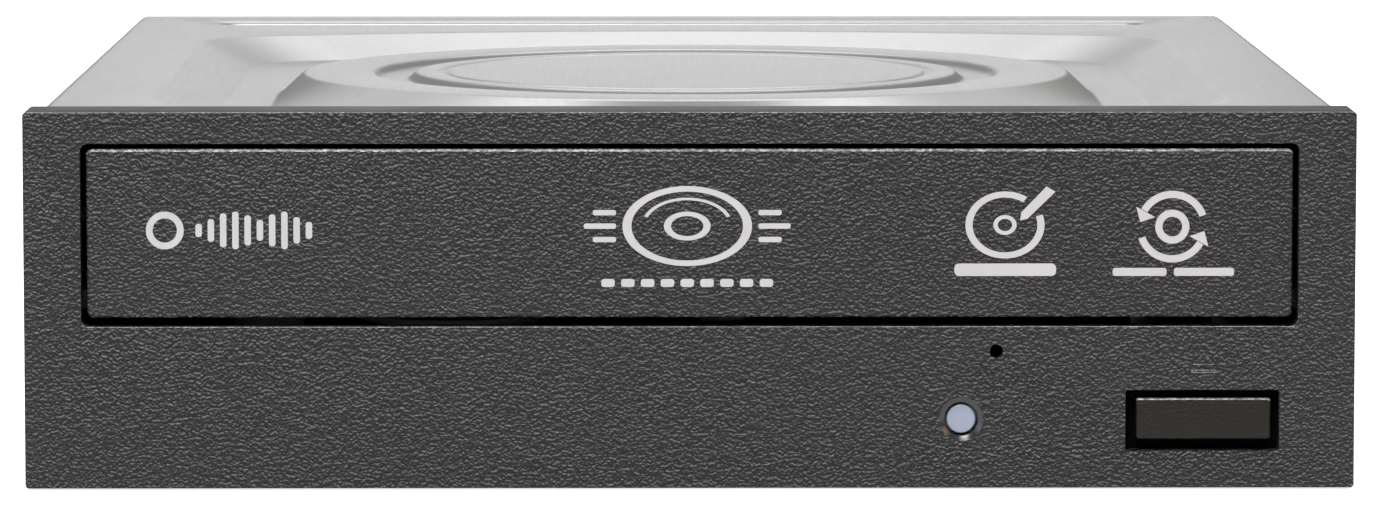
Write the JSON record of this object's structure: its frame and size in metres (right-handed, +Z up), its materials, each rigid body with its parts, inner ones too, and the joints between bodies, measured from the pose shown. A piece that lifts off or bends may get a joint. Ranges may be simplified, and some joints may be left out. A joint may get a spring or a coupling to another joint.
{
  "type": "internal half-height optical disc drive",
  "caption": "Half-height optical disc drive with a sliding disc tray, an eject button, a stamped steel case and a full loading and reading mechanism inside.",
  "frame": {"origin": "under the middle of the drive, at the height of the bezel's lower edge", "axes": "+X to the right seen from the front, +Y from the bezel to the rear, +Z up"},
  "size_m": [0.148, 0.172, 0.042],
  "materials": {
    "bezel_plastic": "matte, coarse grain",
    "button_plastic": "matte, fine grain",
    "frame_plastic": "fine grain",
    "gear_plastic": "smooth acetal",
    "cover_steel": "satin zinc-coated sheet",
    "plate_steel": "plain rolled sheet",
    "dark_metal": "dark die cast and motor cans",
    "screw_steel": "zinc plated",
    "rubber": "matte",
    "circuit_board": "green solder resist",
    "chip_plastic": "moulded epoxy",
    "lens_glass": "coated",
    "light_clear": "frosted clear",
    "ribbon_plastic": "flat cable film"
  },
  "bodies": {
    "drive": {"bezel": "bezel_plastic", "top_cover": "cover_steel", "bottom_cover": "cover_steel", "loader_frame": "frame_plastic", "clamp_bridge": "plate_steel", "loading_motor": "dark_metal", "loading_belt": "rubber", "light_pipe": "light_clear", "main_board": "circuit_board", "front_board": "circuit_board", "front_ribbon": "ribbon_plastic", "data_connector": "chip_plastic", "power_connector": "chip_plastic", "eject_switch": "chip_plastic", "status_lamp": "light_clear", "controller_chip": "chip_plastic", "memory_chip": "chip_plastic", "motor_driver_chip": "chip_plastic", "cover_screw_1": "screw_steel", "cover_screw_2": "screw_steel", "cover_screw_3": "screw_steel", "cover_screw_4": "screw_steel", "bridge_screw_1": "screw_steel", "bridge_screw_2": "screw_steel"},
    "tray": {"tray": "frame_plastic", "tray_door": "bezel_plastic"},
    "eject_button": {"eject_button": "button_plastic"},
    "drive_gear": {"drive_gear": "gear_plastic"},
    "pulley_gear": {"pulley_gear": "gear_plastic"},
    "motor_pulley": {"motor_pulley": "gear_plastic"},
    "cam_slider": {"cam_slider": "frame_plastic"},
    "traverse": {"lift_frame": "frame_plastic", "traverse_plate": "plate_steel", "spindle_motor": "dark_metal", "sled_motor": "dark_metal", "guide_rod_1": "screw_steel", "guide_rod_2": "screw_steel", "damper_1": "rubber", "damper_2": "rubber", "damper_3": "rubber", "damper_4": "rubber", "damper_screw_1": "screw_steel", "damper_screw_2": "screw_steel", "damper_screw_3": "screw_steel", "damper_screw_4": "screw_steel"},
    "turntable": {"turntable": "frame_plastic", "turntable_ring": "rubber"},
    "clamper": {"clamper": "frame_plastic", "clamper_yoke": "plate_steel"},
    "lead_screw": {"lead_screw": "screw_steel"},
    "pickup": {"pickup_body": "dark_metal", "feed_nut": "gear_plastic", "actuator_yoke": "plate_steel", "yoke_magnet_1": "dark_metal", "yoke_magnet_2": "dark_metal"},
    "lens_holder": {"lens_holder": "frame_plastic", "objective_lens_1": "lens_glass", "objective_lens_2": "lens_glass"}
  },
  "joints": [
    {"name": "tray_slide", "type": "slide", "parent": "drive", "child": "tray", "axis": [0, -1, 0], "range_m": [0, 0.134]},
    {"name": "eject_press", "type": "slide", "parent": "drive", "child": "eject_button", "axis": [0, 1, 0], "range_m": [0, 0.0006], "stiffness_N_per_m": 900},
    {"name": "drive_gear_turn", "type": "hinge", "parent": "drive", "child": "drive_gear", "pos_m": [-0.048, -0.062, 0.0155], "axis": [0, 0, 1], "range_deg": [0, 853.17]},
    {"name": "pulley_gear_turn", "type": "hinge", "parent": "drive", "child": "pulley_gear", "pos_m": [-0.0271, -0.064, 0.014], "axis": [0, 0, 1], "range_deg": [-1706.24, 0]},
    {"name": "motor_pulley_turn", "type": "hinge", "parent": "drive", "child": "motor_pulley", "pos_m": [0.004, -0.065, 0.015], "axis": [0, 0, 1], "range_deg": [-5583.84, 0]},
    {"name": "cam_slide", "type": "slide", "parent": "drive", "child": "cam_slider", "axis": [1, 0, 0], "range_m": [0, 0.012]},
    {"name": "traverse_tilt", "type": "hinge", "parent": "drive", "child": "traverse", "pos_m": [0, 0.062, 0.0135], "axis": [1, 0, 0], "range_deg": [0, 4.8]},
    {"name": "spindle_turn", "type": "hinge", "parent": "traverse", "child": "turntable", "pos_m": [0, -0.017, 0.024], "axis": [0, 0, 1], "continuous": true},
    {"name": "clamper_turn", "type": "hinge", "parent": "drive", "child": "clamper", "pos_m": [0, -0.017, 0.0315], "axis": [0, 0, 1], "continuous": true},
    {"name": "pickup_slide", "type": "slide", "parent": "traverse", "child": "pickup", "axis": [0, 1, 0], "range_m": [0, 0.034]},
    {"name": "lead_screw_turn", "type": "hinge", "parent": "traverse", "child": "lead_screw", "pos_m": [0.036, 0.024, 0.015], "axis": [0, 1, 0], "range_deg": [0, 4080.1]},
    {"name": "focus_lift", "type": "slide", "parent": "pickup", "child": "lens_holder", "axis": [0, 0, 1], "range_m": [-0.0004, 0.0004], "stiffness_N_per_m": 60}
  ],
  "couplings": [
    {"joint": "drive_gear_turn", "follows": "tray_slide", "rad_per_m": 111.11},
    {"joint": "pulley_gear_turn", "follows": "tray_slide", "rad_per_m": -222.22},
    {"joint": "motor_pulley_turn", "follows": "tray_slide", "rad_per_m": -727.27},
    {"joint": "traverse_tilt", "follows": "cam_slide", "rad_per_m": 6.9813},
    {"joint": "clamper_turn", "follows": "spindle_turn", "ratio": 1},
    {"joint": "lead_screw_turn", "follows": "pickup_slide", "rad_per_m": 2094.4}
  ]
}
